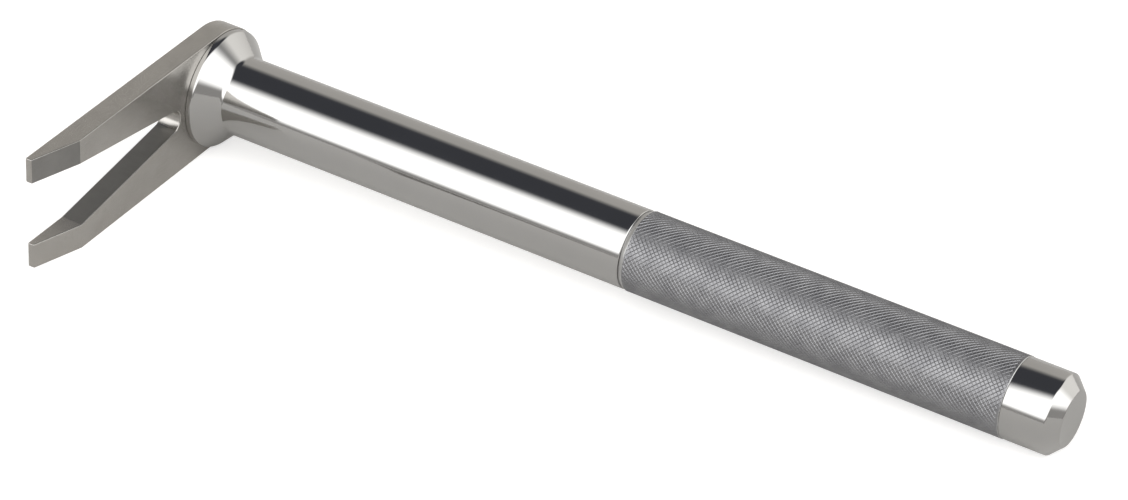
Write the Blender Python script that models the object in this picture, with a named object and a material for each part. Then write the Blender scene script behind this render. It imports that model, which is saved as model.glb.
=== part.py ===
"""Forked bench pry tool: a flat two-prong fork set square across a round bar handle.

The fork is a bevelled steel plate that seats on the conical collar of the bar. A countersunk
screw clamps it from behind and two dowel pins stop it turning. A knurled sleeve slides over
the reduced rear of the bar, keyed against rotation, and a butt cap on a threaded stud traps it.

Tool axes while modelling: +X runs from the back of the fork to the butt, -Y runs from the bar
towards the prong tips, and +Z runs across the prongs. The tool lies on its side, and the
origin of the finished model is the bottom centre of its bounding box.
"""

import math

import bmesh
import bpy

# ---------------------------------------------------------------- driving dimensions (metres)
MM = 0.001

# Fork plate
PLATE_THICKNESS = 3.8 * MM
HUB_RADIUS = 9.9 * MM              # full-round end, and half the width across the prongs
PRONG_REACH = 45.2 * MM            # bar axis to the prong tips
BEVEL_LENGTH = 8.5 * MM            # sharpened length of each prong, measured along it
TIP_THICKNESS = 1.1 * MM
TIP_OPENING = 11.7 * MM            # slot width along the sharpened length
SLOT_ROOT_RADIUS = 2.0 * MM
SLOT_ROOT_MARGIN = 1.2 * MM        # edge of the collar to the bottom of the slot
EDGE_BREAK = 0.2 * MM              # small chamfer on the plate's and the bar's sharp edges

# Bar handle
OVERALL_LENGTH = 153.3 * MM        # back of the fork to the butt face
BAR_RADIUS = 6.35 * MM
COLLAR_STEP = 0.2 * MM             # the collar is this much smaller than the hub
COLLAR_LAND = 0.45 * MM            # short cylindrical edge before the cone
COLLAR_ANGLE = math.radians(45)
COLLAR_FILLET = 0.8 * MM
GRIP_LENGTH = 64.1 * MM
KNURL_RISE = 0.15 * MM             # the knurl's crests stand this far above the bar
GRIP_LEAD_LENGTH = 0.8 * MM        # plain taper before the knurl
SLEEVE_WALL = 1.55 * MM            # bar radius less the sleeve's bore
CORE_WALL = 1.2 * MM               # around the stud
CORE_END_SHORTFALL = 0.5 * MM      # the core stops short, so the cap bears on the sleeve
CAP_LENGTH = 8.6 * MM
BUTT_CHAMFER = 1.95 * MM

# Fasteners and keys
SCREW_THREAD_RADIUS = 2.5 * MM
SCREW_HEAD_RADIUS = 4.8 * MM
SCREW_HEAD_RIM = 0.3 * MM
SCREW_LENGTH = 16.0 * MM
SCREW_RECESS = 0.2 * MM            # head below the back of the plate
SCREW_SOCKET_ACROSS_FLATS = 3.0 * MM
SCREW_SOCKET_DEPTH = 1.9 * MM
PIN_RADIUS = 0.75 * MM
PIN_WEB = 0.25 * MM                # metal between each pin hole and the screw's countersink
PIN_RECESS = 0.3 * MM              # pin end below the back of the plate
PIN_ENGAGEMENT = 1.1 * MM          # depth of each pin in the collar
STUD_DEPTH_IN_BAR = 9.0 * MM
STUD_DEPTH_IN_CAP = 5.5 * MM
STUD_END_CHAMFER = 0.4 * MM
KEY_WIDTH = 2.0 * MM
KEY_HEIGHT = 2.0 * MM
KEY_LENGTH = 10.0 * MM
KEY_STAND_PROUD = 0.8 * MM         # height of the key above the core
KEY_SETBACK = 1.5 * MM             # shoulder to the near end of the key

# Fits
FIT_GAP = 0.3 * MM                 # clearance between pieces that touch
HOLE_END_GAP = 0.4 * MM            # clearance past the end of a screw, stud or pin

# Facets
ROUND_STEPS = 64
SMALL_ROUND_STEPS = 32
HUB_STEPS = 32
ROOT_STEPS = 16
FILLET_STEPS = 6
SMOOTH_ANGLE = math.radians(30)

# ---------------------------------------------------------------- sizes that follow
BAR_FACE = PLATE_THICKNESS + FIT_GAP
COLLAR_RADIUS = HUB_RADIUS - COLLAR_STEP
KNEE_REACH = PRONG_REACH - BEVEL_LENGTH
TIP_HALF_OPENING = TIP_OPENING / 2
SLOT_ROOT_REACH = COLLAR_RADIUS + SLOT_ROOT_MARGIN + SLOT_ROOT_RADIUS

CAP_FACE = OVERALL_LENGTH - CAP_LENGTH
GRIP_END = CAP_FACE - FIT_GAP
GRIP_START = GRIP_END - GRIP_LENGTH
CREST_RADIUS = BAR_RADIUS + KNURL_RISE
CORE_END = GRIP_END - CORE_END_SHORTFALL
BORE_RADIUS = BAR_RADIUS - SLEEVE_WALL
CORE_RADIUS = BORE_RADIUS - FIT_GAP

TAPPED_SCREW_RADIUS = SCREW_THREAD_RADIUS + FIT_GAP
TAPPED_STUD_RADIUS = CORE_RADIUS - CORE_WALL
STUD_RADIUS = TAPPED_STUD_RADIUS - FIT_GAP
PIN_HOLE_RADIUS = PIN_RADIUS + FIT_GAP
PIN_CIRCLE_RADIUS = SCREW_HEAD_RADIUS + FIT_GAP + PIN_WEB + PIN_HOLE_RADIUS
PIN_END = BAR_FACE + PIN_ENGAGEMENT
SCREW_END = SCREW_RECESS + SCREW_LENGTH
STUD_START = CORE_END - STUD_DEPTH_IN_BAR
STUD_END = CAP_FACE + STUD_DEPTH_IN_CAP
KEY_START = GRIP_START + KEY_SETBACK
KEY_TOP = CORE_RADIUS + KEY_STAND_PROUD
CUT_OVERRUN = 1.0 * MM             # cutters run this far past the face they cut

# Colour, metallic and roughness of each finish
FINISHES = {
    "satin_steel": ((0.42, 0.41, 0.39), 1.0, 0.42),
    "polished_steel": ((0.78, 0.78, 0.77), 1.0, 0.08),
    "knurled_steel": ((0.38, 0.38, 0.39), 1.0, 0.5),
    "black_oxide": ((0.05, 0.05, 0.055), 0.8, 0.4),
    "ground_steel": ((0.6, 0.6, 0.6), 1.0, 0.25),
}


# ---------------------------------------------------------------- helpers
def clear_scene():
    """Remove every object that is already in the file."""
    for obj in list(bpy.data.objects):
        bpy.data.objects.remove(obj, do_unlink=True)


def make_material(piece_name, finish):
    """Give a piece its own Principled material in a named finish."""
    color, metallic, roughness = FINISHES[finish]
    material = bpy.data.materials.new(piece_name + "_finish")
    material.use_nodes = True
    shader = material.node_tree.nodes["Principled BSDF"]
    shader.inputs["Base Color"].default_value = (*color, 1.0)
    shader.inputs["Metallic"].default_value = metallic
    shader.inputs["Roughness"].default_value = roughness
    return material


def make_object(name, bm, frame, finish=None):
    """Turn a bmesh into a named object under the frame, shaded smooth between its edges."""
    bmesh.ops.recalc_face_normals(bm, faces=bm.faces)
    mesh = bpy.data.meshes.new(name)
    bm.to_mesh(mesh)
    bm.free()
    mesh.shade_smooth()
    mesh.set_sharp_from_angle(angle=SMOOTH_ANGLE)
    obj = bpy.data.objects.new(name, mesh)
    bpy.context.scene.collection.objects.link(obj)
    obj.parent = frame
    if finish:
        mesh.materials.append(make_material(name, finish))
    else:
        obj.hide_render = True
        obj.display_type = "WIRE"
    return obj


def cut(piece, cutter):
    """Subtract a cutter from a piece."""
    modifier = piece.modifiers.new(cutter.name, "BOOLEAN")
    modifier.operation = "DIFFERENCE"
    modifier.solver = "EXACT"
    modifier.object = cutter


def turned(profile, closed=False, steps=ROUND_STEPS):
    """Turn (x, radius) points about the X axis. An open profile starts and ends on the axis."""
    bm = bmesh.new()
    verts = [bm.verts.new((x, radius, 0)) for x, radius in profile]
    pairs = list(zip(verts, verts[1:]))
    if closed:
        pairs.append((verts[-1], verts[0]))
    edges = [bm.edges.new(pair) for pair in pairs]
    bmesh.ops.spin(
        bm, geom=verts + edges, cent=(0, 0, 0), axis=(1, 0, 0),
        angle=2 * math.pi, steps=steps, use_merge=True,
    )
    bmesh.ops.remove_doubles(bm, verts=bm.verts, dist=0.001 * MM)
    return bm


def rod_profile(start, end, radius, chamfer=0.0):
    """Profile of a plain round rod along X, with an optional chamfer at both ends."""
    if chamfer:
        return [(start, 0), (start, radius - chamfer), (start + chamfer, radius),
                (end - chamfer, radius), (end, radius - chamfer), (end, 0)]
    return [(start, 0), (start, radius), (end, radius), (end, 0)]


def key_block(start, end, half_width, bottom, top):
    """A block from x start to x end, centred on z = 0, from y bottom to y top."""
    bm = bmesh.new()
    bmesh.ops.create_cube(bm, size=1.0)
    bmesh.ops.scale(bm, vec=(end - start, top - bottom, 2 * half_width), verts=bm.verts)
    bmesh.ops.translate(bm, vec=((start + end) / 2, (bottom + top) / 2, 0), verts=bm.verts)
    return bm


def arc(centre, radius, start, end, steps):
    """Points (reach, across) on an arc, from the start angle to the end angle inclusive."""
    return [
        (centre + radius * math.cos(a), radius * math.sin(a))
        for a in (start + (end - start) * i / steps for i in range(steps + 1))
    ]


# ---------------------------------------------------------------- fork plate
def slot_taper():
    """Slope of the V's walls, each running from the knee to touch the root circle."""
    run = KNEE_REACH - SLOT_ROOT_REACH
    distance = math.hypot(run, TIP_HALF_OPENING)
    return math.atan2(TIP_HALF_OPENING, run) - math.asin(SLOT_ROOT_RADIUS / distance)


def fork_outline():
    """The plate's outline as (reach, across) points: hub, upper prong, slot, lower prong."""
    taper = slot_taper()
    root = arc(
        SLOT_ROOT_REACH, SLOT_ROOT_RADIUS,
        math.pi / 2 + taper, 3 * math.pi / 2 - taper, ROOT_STEPS,
    )
    hub = arc(0, HUB_RADIUS, 3 * math.pi / 2, math.pi / 2, HUB_STEPS)
    upper = [(KNEE_REACH, HUB_RADIUS), (PRONG_REACH, HUB_RADIUS),
             (PRONG_REACH, TIP_HALF_OPENING), (KNEE_REACH, TIP_HALF_OPENING)]
    lower = [(reach, -across) for reach, across in reversed(upper)]
    return hub + upper + root + lower


def front_of_plate(reach):
    """X of the plate's front face at a given reach: flat, then sloping to the thin tip."""
    if reach <= KNEE_REACH:
        return PLATE_THICKNESS
    share = (reach - KNEE_REACH) / BEVEL_LENGTH
    return PLATE_THICKNESS + (TIP_THICKNESS - PLATE_THICKNESS) * share


def fork_plate(frame):
    """Forked plate with a full-round hub end, a V slot and two chisel-bevelled prongs."""
    bm = bmesh.new()
    back = bm.faces.new([bm.verts.new((0, -reach, across)) for reach, across in fork_outline()])
    extruded = bmesh.ops.extrude_face_region(bm, geom=[back])
    front = [item for item in extruded["geom"] if isinstance(item, bmesh.types.BMVert)]
    bmesh.ops.translate(bm, vec=(PLATE_THICKNESS, 0, 0), verts=front)
    everything = bm.verts[:] + bm.edges[:] + bm.faces[:]
    bmesh.ops.bisect_plane(bm, geom=everything, plane_co=(0, -KNEE_REACH, 0), plane_no=(0, 1, 0),
                           dist=0.001 * MM)
    for vert in bm.verts:
        if vert.co.x > PLATE_THICKNESS / 2:
            vert.co.x = front_of_plate(-vert.co.y)
    plate = make_object("fork_plate", bm, frame, "satin_steel")

    edge_break = plate.modifiers.new("edge_break", "BEVEL")
    edge_break.width = EDGE_BREAK
    edge_break.segments = 1
    edge_break.limit_method = "ANGLE"
    edge_break.angle_limit = math.radians(40)

    cut(plate, make_object("cut_screw_hole", turned(screw_hole_profile()), frame))
    for side, z in pin_places():
        hole = turned(rod_profile(-CUT_OVERRUN, PLATE_THICKNESS + CUT_OVERRUN, PIN_HOLE_RADIUS),
                      steps=SMALL_ROUND_STEPS)
        bmesh.ops.translate(hole, vec=(0, 0, z), verts=hole.verts)
        cut(plate, make_object("cut_plate_pin_hole_" + side, hole, frame))
    return plate


def screw_hole_profile():
    """Countersunk clearance hole through the plate, as deep as the screw's head needs."""
    head_edge = SCREW_RECESS + SCREW_HEAD_RIM
    cone_end = head_edge + SCREW_HEAD_RADIUS - SCREW_THREAD_RADIUS
    head_hole = SCREW_HEAD_RADIUS + FIT_GAP
    neck_hole = SCREW_THREAD_RADIUS + FIT_GAP
    return [(-CUT_OVERRUN, 0), (-CUT_OVERRUN, head_hole), (head_edge, head_hole),
            (cone_end, neck_hole), (PLATE_THICKNESS + CUT_OVERRUN, neck_hole),
            (PLATE_THICKNESS + CUT_OVERRUN, 0)]


def pin_places():
    """Name and height of each dowel pin, on a circle about the bar's axis."""
    return (("upper", PIN_CIRCLE_RADIUS), ("lower", -PIN_CIRCLE_RADIUS))


# ---------------------------------------------------------------- bar
def collar_fillet():
    """Arc that blends the collar's cone into the bar, tangent to both."""
    cone_base = BAR_FACE + COLLAR_LAND
    cone_foot = cone_base + (COLLAR_RADIUS - BAR_RADIUS) / math.tan(COLLAR_ANGLE)
    centre_x = cone_foot + COLLAR_FILLET * math.tan(COLLAR_ANGLE / 2)
    centre_radius = BAR_RADIUS + COLLAR_FILLET
    turns = [COLLAR_ANGLE * (1 - i / FILLET_STEPS) for i in range(FILLET_STEPS + 1)]
    return [(centre_x - COLLAR_FILLET * math.sin(a), centre_radius - COLLAR_FILLET * math.cos(a))
            for a in turns]


def polished_bar(frame):
    """Turned bar: conical collar, polished shank, then the reduced core under the sleeve."""
    profile = [(BAR_FACE, 0), (BAR_FACE, COLLAR_RADIUS), (BAR_FACE + COLLAR_LAND, COLLAR_RADIUS)]
    profile += collar_fillet()
    profile += [
        (GRIP_START - EDGE_BREAK, BAR_RADIUS), (GRIP_START, BAR_RADIUS - EDGE_BREAK),
        (GRIP_START, CORE_RADIUS), (CORE_END - EDGE_BREAK, CORE_RADIUS),
        (CORE_END, CORE_RADIUS - EDGE_BREAK), (CORE_END, 0),
    ]
    bar = make_object("polished_bar", turned(profile), frame, "polished_steel")

    screw_hole = rod_profile(BAR_FACE - CUT_OVERRUN, SCREW_END + HOLE_END_GAP, TAPPED_SCREW_RADIUS)
    cut(bar, make_object("cut_bar_screw_hole", turned(screw_hole, steps=SMALL_ROUND_STEPS), frame))

    stud_hole = rod_profile(STUD_START - HOLE_END_GAP, CORE_END + CUT_OVERRUN, TAPPED_STUD_RADIUS)
    cut(bar, make_object("cut_bar_stud_hole", turned(stud_hole, steps=SMALL_ROUND_STEPS), frame))

    for side, z in pin_places():
        hole = turned(rod_profile(BAR_FACE - CUT_OVERRUN, PIN_END + HOLE_END_GAP, PIN_HOLE_RADIUS),
                      steps=SMALL_ROUND_STEPS)
        bmesh.ops.translate(hole, vec=(0, 0, z), verts=hole.verts)
        cut(bar, make_object("cut_bar_pin_hole_" + side, hole, frame))

    keyway = key_block(
        KEY_START - FIT_GAP, KEY_START + KEY_LENGTH + FIT_GAP, KEY_WIDTH / 2 + FIT_GAP,
        KEY_TOP - KEY_HEIGHT - FIT_GAP, CORE_RADIUS + CUT_OVERRUN,
    )
    cut(bar, make_object("cut_bar_keyway", keyway, frame))
    return bar


# ---------------------------------------------------------------- grip, key, cap and stud
def knurled_sleeve(frame):
    """Grip sleeve around the core, with a keyway broached from its front end."""
    front = GRIP_START + FIT_GAP
    profile = [
        (front, BORE_RADIUS), (front, BAR_RADIUS - EDGE_BREAK),
        (front + GRIP_LEAD_LENGTH, CREST_RADIUS), (GRIP_END - EDGE_BREAK, CREST_RADIUS),
        (GRIP_END, CREST_RADIUS - EDGE_BREAK), (GRIP_END, BORE_RADIUS),
    ]
    sleeve = make_object("knurled_sleeve", turned(profile, closed=True), frame, "knurled_steel")
    keyway = key_block(
        front - CUT_OVERRUN, KEY_START + KEY_LENGTH + FIT_GAP, KEY_WIDTH / 2 + FIT_GAP,
        0, KEY_TOP + FIT_GAP,
    )
    cut(sleeve, make_object("cut_sleeve_keyway", keyway, frame))
    return sleeve


def sleeve_key(frame):
    """Parallel key between the core and the sleeve, on the side away from the prongs."""
    block = key_block(0, KEY_LENGTH, KEY_WIDTH / 2, -KEY_HEIGHT, 0)
    key = make_object("sleeve_key", block, frame, "ground_steel")
    key.location = (KEY_START, KEY_TOP, 0)
    return key


def butt_cap(frame):
    """Polished end cap with a chamfered rim and a blind tapped hole for the stud."""
    profile = [
        (CAP_FACE, 0), (CAP_FACE, BAR_RADIUS - EDGE_BREAK), (CAP_FACE + EDGE_BREAK, BAR_RADIUS),
        (OVERALL_LENGTH - BUTT_CHAMFER, BAR_RADIUS), (OVERALL_LENGTH, BAR_RADIUS - BUTT_CHAMFER),
        (OVERALL_LENGTH, 0),
    ]
    cap = make_object("butt_cap", turned(profile), frame, "polished_steel")
    hole = rod_profile(CAP_FACE - CUT_OVERRUN, STUD_END + HOLE_END_GAP, TAPPED_STUD_RADIUS)
    cut(cap, make_object("cut_cap_stud_hole", turned(hole, steps=SMALL_ROUND_STEPS), frame))
    return cap


def butt_stud(frame):
    """Headless stud that draws the cap against the sleeve."""
    profile = rod_profile(0, STUD_END - STUD_START, STUD_RADIUS, STUD_END_CHAMFER)
    stud = make_object("butt_stud", turned(profile, steps=SMALL_ROUND_STEPS), frame, "ground_steel")
    stud.location = (STUD_START, 0, 0)
    return stud


# ---------------------------------------------------------------- fork fasteners
def fork_screw(frame):
    """Countersunk screw with a hexagon socket, clamping the plate to the bar."""
    cone_end = SCREW_HEAD_RIM + SCREW_HEAD_RADIUS - SCREW_THREAD_RADIUS
    tip_chamfer = STUD_END_CHAMFER
    profile = [
        (0, 0), (0, SCREW_HEAD_RADIUS), (SCREW_HEAD_RIM, SCREW_HEAD_RADIUS),
        (cone_end, SCREW_THREAD_RADIUS), (SCREW_LENGTH - tip_chamfer, SCREW_THREAD_RADIUS),
        (SCREW_LENGTH, SCREW_THREAD_RADIUS - tip_chamfer), (SCREW_LENGTH, 0),
    ]
    screw = make_object("fork_screw", turned(profile, steps=SMALL_ROUND_STEPS), frame, "black_oxide")
    screw.location = (SCREW_RECESS, 0, 0)
    corner_radius = SCREW_SOCKET_ACROSS_FLATS / 2 / math.cos(math.pi / 6)
    socket = turned(rod_profile(-CUT_OVERRUN, SCREW_SOCKET_DEPTH, corner_radius), steps=6)
    cutter = make_object("cut_screw_socket", socket, frame)
    cutter.location = screw.location
    cut(screw, cutter)
    return screw


def dowel_pins(frame):
    """Two pins that locate the plate on the collar and stop it turning."""
    length = PIN_END - PIN_RECESS
    for side, z in pin_places():
        bm = turned(rod_profile(0, length, PIN_RADIUS, EDGE_BREAK), steps=SMALL_ROUND_STEPS)
        pin = make_object("dowel_pin_" + side, bm, frame, "ground_steel")
        pin.location = (PIN_RECESS, 0, z)


# ---------------------------------------------------------------- assembly
def tool_frame():
    """Empty that puts the origin at the bottom centre of the tool's bounding box."""
    frame = bpy.data.objects.new("tool_frame", None)
    bpy.context.scene.collection.objects.link(frame)
    frame.location = (-OVERALL_LENGTH / 2, (PRONG_REACH - HUB_RADIUS) / 2, HUB_RADIUS)
    return frame


def main():
    clear_scene()
    frame = tool_frame()
    fork_plate(frame)
    polished_bar(frame)
    knurled_sleeve(frame)
    sleeve_key(frame)
    butt_cap(frame)
    butt_stud(frame)
    fork_screw(frame)
    dowel_pins(frame)


main()
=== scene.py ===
"""Finished pieces, materials and stage for a forked bench pry tool.

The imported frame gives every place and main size. The pieces made here stand for its plain
solids: a satin fork with rounded edges, a polished bar and butt cap, a diamond-knurled grip,
a threaded screw and stud and the pins and key that lock them. Units are metres.
"""

import math

import bmesh
import bpy
from bpy.props import FloatProperty, FloatVectorProperty, IntProperty, PointerProperty
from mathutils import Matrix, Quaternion, Vector


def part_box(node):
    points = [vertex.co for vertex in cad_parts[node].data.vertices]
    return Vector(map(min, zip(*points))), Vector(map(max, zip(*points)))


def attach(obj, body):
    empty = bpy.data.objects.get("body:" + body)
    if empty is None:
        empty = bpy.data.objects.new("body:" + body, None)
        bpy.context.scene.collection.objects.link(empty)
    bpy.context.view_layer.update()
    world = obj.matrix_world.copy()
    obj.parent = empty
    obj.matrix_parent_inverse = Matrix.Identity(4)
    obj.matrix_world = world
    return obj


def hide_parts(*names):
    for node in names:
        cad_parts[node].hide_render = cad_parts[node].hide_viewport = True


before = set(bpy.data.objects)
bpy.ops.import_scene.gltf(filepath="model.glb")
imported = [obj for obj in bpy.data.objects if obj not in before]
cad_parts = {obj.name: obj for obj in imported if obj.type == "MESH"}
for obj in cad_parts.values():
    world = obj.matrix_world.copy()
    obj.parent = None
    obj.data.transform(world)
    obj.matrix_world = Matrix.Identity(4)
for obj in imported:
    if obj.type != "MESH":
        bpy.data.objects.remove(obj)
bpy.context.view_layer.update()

bl_info = {
    "name": "Forked Pry Tool",
    "version": (1, 0, 0),
    "blender": (4, 5, 0),
    "location": "3D View > Sidebar > Pry Tool",
    "description": "Builds the finished pieces, materials and stage of a forked bench pry tool",
    "category": "Object",
}

MM = 0.001
BODY = "root"
SEAM = 0.03 * MM                   # gap left where finished pieces touch
MERGE_DISTANCE = 0.001 * MM
SMOOTH_ANGLE = math.radians(28)
ROUND_STEPS = 6                    # facets on a rounded corner of a turned outline
FINE_ROUND_STEPS = 3               # the same on the sleeve and the fasteners
SCREW_STEPS = 96                   # facets around the screw's head and its countersink
PIN_STEPS = 40                     # facets around the pins and their holes
THREAD_STEPS = 48                  # facets around a thread
THREAD_ROWS = 8                    # rows of facets in one turn of a thread
CUT_MARGIN = 1.0 * MM              # how far a cutting tool stands clear of the face that it cuts


# ---- places read from the frame
def span(node):
    """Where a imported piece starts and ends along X, and half its height."""
    low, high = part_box(node)
    return low.x, high.x, (high.z - low.z) / 2


class Layout:
    """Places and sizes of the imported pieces. The bar's axis runs along +X."""

    def __init__(self):
        self.back, self.plate_front, self.hub_radius = span("fork_plate")
        self.bar_face, self.core_end, self.collar_radius = span("polished_bar")
        self.grip_start, self.grip_end, self.crest_radius = span("knurled_sleeve")
        _, self.butt, self.bar_radius = span("butt_cap")
        self.screw_back, self.screw_end, self.screw_head_radius = span("fork_screw")
        self.stud_start, self.stud_end, self.stud_radius = span("butt_stud")
        self.pin_back, self.pin_end, self.pin_radius = span("dowel_pin_upper")
        low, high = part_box("fork_plate")
        self.axis_y = high.y - self.hub_radius
        self.axis_z = (high.z + low.z) / 2
        self.reach = self.axis_y - low.y
        low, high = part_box("dowel_pin_upper")
        self.pin_circle = (high.z + low.z) / 2 - self.axis_z


LAYOUT = Layout()


# ---- settings
def length(name, description, default_mm):
    """A length property with its default given in millimetres."""
    return FloatProperty(name=name, description=description, default=default_mm * MM,
                         min=0.0, precision=5, unit="LENGTH")


def colour(name, description, default):
    """A colour property."""
    return FloatVectorProperty(name=name, description=description, default=default,
                               size=3, min=0.0, max=1.0, subtype="COLOR")


def angle(name, description, degrees):
    """An angle property with its default given in degrees."""
    return FloatProperty(name=name, description=description, default=math.radians(degrees),
                         subtype="ANGLE")


class ForkSettings(bpy.types.PropertyGroup):
    """Sizes of the forked plate."""

    bevel_length: length("Bevel length", "Sharpened length of each prong", 8.5)
    tip_thickness: length("Tip thickness", "Thickness left at the prong tips", 1.1)
    tip_opening: length("Tip opening", "Slot width along the sharpened length", 11.2)
    root_radius: length("Root radius", "Radius at the bottom of the slot", 2.0)
    root_margin: length("Root margin", "Edge of the collar to the bottom of the slot", 1.2)
    edge_round: length("Edge round", "Radius on the plate's edges", 0.16)
    hole_round: length("Hole round", "Radius at the mouths of the plate's holes", 0.12)


class BarSettings(bpy.types.PropertyGroup):
    """Sizes of the polished bar and the butt cap."""

    collar_land: length("Collar land", "Short cylindrical edge before the cone", 0.65)
    collar_angle: angle("Collar angle", "Slope of the collar's cone to the bar", 45)
    collar_round: length("Collar round", "Radius between the land and the cone", 0.6)
    collar_fillet: length("Collar fillet", "Radius where the cone meets the bar", 1.0)
    core_drop: length("Core drop", "Bar radius less the radius of the core", 1.85)
    butt_chamfer: length("Butt chamfer", "Chamfer around the butt face", 1.95)
    edge_round: length("Edge round", "Radius on turned edges", 0.18)
    steps: IntProperty(name="Facets", description="Facets around the bar", default=192, min=24)


class GripSettings(bpy.types.PropertyGroup):
    """Sizes of the knurled grip."""

    lead_length: length("Lead length", "Plain bright taper before the knurl", 0.8)
    lead_drop: length("Lead drop", "How far the taper starts below the crests", 0.35)
    pitch: length("Knurl pitch", "Diamond length, along the grip and around it", 0.8)
    depth: length("Knurl depth", "Crest to groove", 0.07)
    crest_width: FloatProperty(name="Crest width", description="Flat top's share of a diamond",
                               default=0.72, min=0.05, max=0.95, subtype="FACTOR")
    wall: length("Sleeve wall", "Crest radius less the radius of the bore", 1.7)


class FastenerSettings(bpy.types.PropertyGroup):
    """Sizes of the screw, the stud and the pins."""

    screw_pitch: length("Screw pitch", "Thread pitch of the fork screw", 0.8)
    stud_pitch: length("Stud pitch", "Thread pitch of the butt stud", 1.0)
    thread_depth: length("Thread depth", "Crest to root of both threads", 0.45)
    screw_radius: length("Screw radius", "Thread crest radius of the fork screw", 2.5)
    head_rim: length("Head rim", "Cylindrical edge of the screw's head", 0.3)
    socket_flats: length("Socket width", "Across the flats of the screw's socket", 3.0)
    socket_depth: length("Socket depth", "Depth of the screw's socket", 1.9)
    pin_chamfer: length("Pin chamfer", "Chamfer on the ends of the pins", 0.15)


class FinishSettings(bpy.types.PropertyGroup):
    """Colours of the metals."""

    satin: colour("Satin steel", "Blasted and brushed fork", (0.46, 0.445, 0.42))
    # Painted shade: besides the milled finish, this colour darkens the upper bevel and the slot's
    # sides deeper in the slot.
    milled_and_painted_shade: colour("Milled steel", "Slot sides and bevel", (0.28, 0.275, 0.265))
    polished: colour("Polished steel", "Mirror finish of the bar and cap", (0.50, 0.495, 0.485))
    knurled: colour("Knurled steel", "Crests of the grip", (0.68, 0.68, 0.69))
    # Painted shade with grime: the dark colour laid into the bottoms of the knurl's grooves.
    groove: colour("Groove", "Bottom of the knurl's grooves", (0.26, 0.26, 0.27))
    turned: colour("Turned steel", "Taper and ends of the grip", (0.52, 0.52, 0.515))
    black: colour("Black oxide", "Fork screw", (0.035, 0.036, 0.04))
    ground: colour("Ground steel", "Pins, key and stud", (0.55, 0.55, 0.55))


class StageSettings(bpy.types.PropertyGroup):
    """Camera, floor and studio light."""

    azimuth: angle("Azimuth", "Camera's turn about the tool, from straight across the bar", 29.43)
    elevation: angle("Elevation", "Camera's height above the horizon", 35.23)
    roll: angle("Roll", "Camera's roll about its own view", 3.42)
    distance: length("Distance", "Camera to the point that it aims at", 634.7)
    lens: FloatProperty(name="Lens", description="Focal length in millimetres", default=134.6)
    aim_along: length("Aim along", "Aim point behind the middle of the bar, towards the fork", 5.24)
    aim_across: length("Aim across", "Aim point from the bar's axis towards the prong tips", 6.56)
    floor_size: length("Floor size", "Side of the square floor", 8000)
    floor_colour: colour("Floor", "Pale floor", (0.60, 0.59, 0.575))


class PryToolSettings(bpy.types.PropertyGroup):
    """Everything that a user can set on the tool."""

    fork: PointerProperty(type=ForkSettings)
    bar: PointerProperty(type=BarSettings)
    grip: PointerProperty(type=GripSettings)
    fasteners: PointerProperty(type=FastenerSettings)
    finish: PointerProperty(type=FinishSettings)
    stage: PointerProperty(type=StageSettings)


# ---- mesh helpers
def rounded(corners, steps=ROUND_STEPS):
    """Points of an outline whose (a, b, radius) corners are rounded by tangent arcs."""
    points = []
    for i, (a, b, radius) in enumerate(corners):
        if radius == 0 or i in (0, len(corners) - 1):
            points.append((a, b))
            continue
        here = Vector((a, b))
        before = (Vector(corners[i - 1][:2]) - here).normalized()
        after = (Vector(corners[i + 1][:2]) - here).normalized()
        half = before.angle(after) / 2
        centre = here + (before + after).normalized() * radius / math.sin(half)
        start = here + before * radius / math.tan(half) - centre
        end = here + after * radius / math.tan(half) - centre
        sweep = math.atan2(start.cross(end), start.dot(end))
        for k in range(steps + 1):
            turn = sweep * k / steps
            points.append((
                centre.x + start.x * math.cos(turn) - start.y * math.sin(turn),
                centre.y + start.x * math.sin(turn) + start.y * math.cos(turn),
            ))
    return points


def arc(centre, radius, start, end, steps):
    """Points (reach, across) on an arc, from the start angle to the end angle inclusive."""
    angles = [start + (end - start) * i / steps for i in range(steps + 1)]
    return [(centre + radius * math.cos(a), radius * math.sin(a)) for a in angles]


def turned(profile, steps):
    """Turn (x, radius) points about the bar's axis."""
    bm = bmesh.new()
    verts = [bm.verts.new((x, radius, 0)) for x, radius in profile]
    edges = [bm.edges.new(pair) for pair in zip(verts, verts[1:])]
    bmesh.ops.spin(bm, geom=verts + edges, cent=(0, 0, 0), axis=(1, 0, 0),
                   angle=2 * math.pi, steps=steps, use_merge=True)
    bmesh.ops.remove_doubles(bm, verts=bm.verts, dist=MERGE_DISTANCE)
    bmesh.ops.recalc_face_normals(bm, faces=bm.faces)
    bmesh.ops.translate(bm, vec=(0, LAYOUT.axis_y, LAYOUT.axis_z), verts=bm.verts)
    return bm


def make_object(name, bm, material=None):
    """Turn a bmesh into an object at the origin, shaded smooth between its edges."""
    mesh = bpy.data.meshes.new(name)
    bm.to_mesh(mesh)
    bm.free()
    mesh.shade_smooth()
    mesh.set_sharp_from_angle(angle=SMOOTH_ANGLE)
    if material:
        mesh.materials.append(material)
    obj = bpy.data.objects.new(name, mesh)
    bpy.context.scene.collection.objects.link(obj)
    return obj


def bake(obj):
    """Replace an object's mesh by its modified one, and drop the modifiers."""
    depsgraph = bpy.context.evaluated_depsgraph_get()
    mesh = bpy.data.meshes.new_from_object(obj.evaluated_get(depsgraph))
    obj.modifiers.clear()
    old, obj.data = obj.data, mesh
    mesh.name = obj.name
    bpy.data.meshes.remove(old)
    return obj


def combine(obj, tool, operation="DIFFERENCE"):
    """Cut a tool out of an object, or join it on, and remove the tool."""
    modifier = obj.modifiers.new(tool.name, "BOOLEAN")
    modifier.operation = operation
    modifier.solver = "EXACT"
    modifier.object = tool
    bake(obj)
    bpy.data.objects.remove(tool, do_unlink=True)


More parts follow.
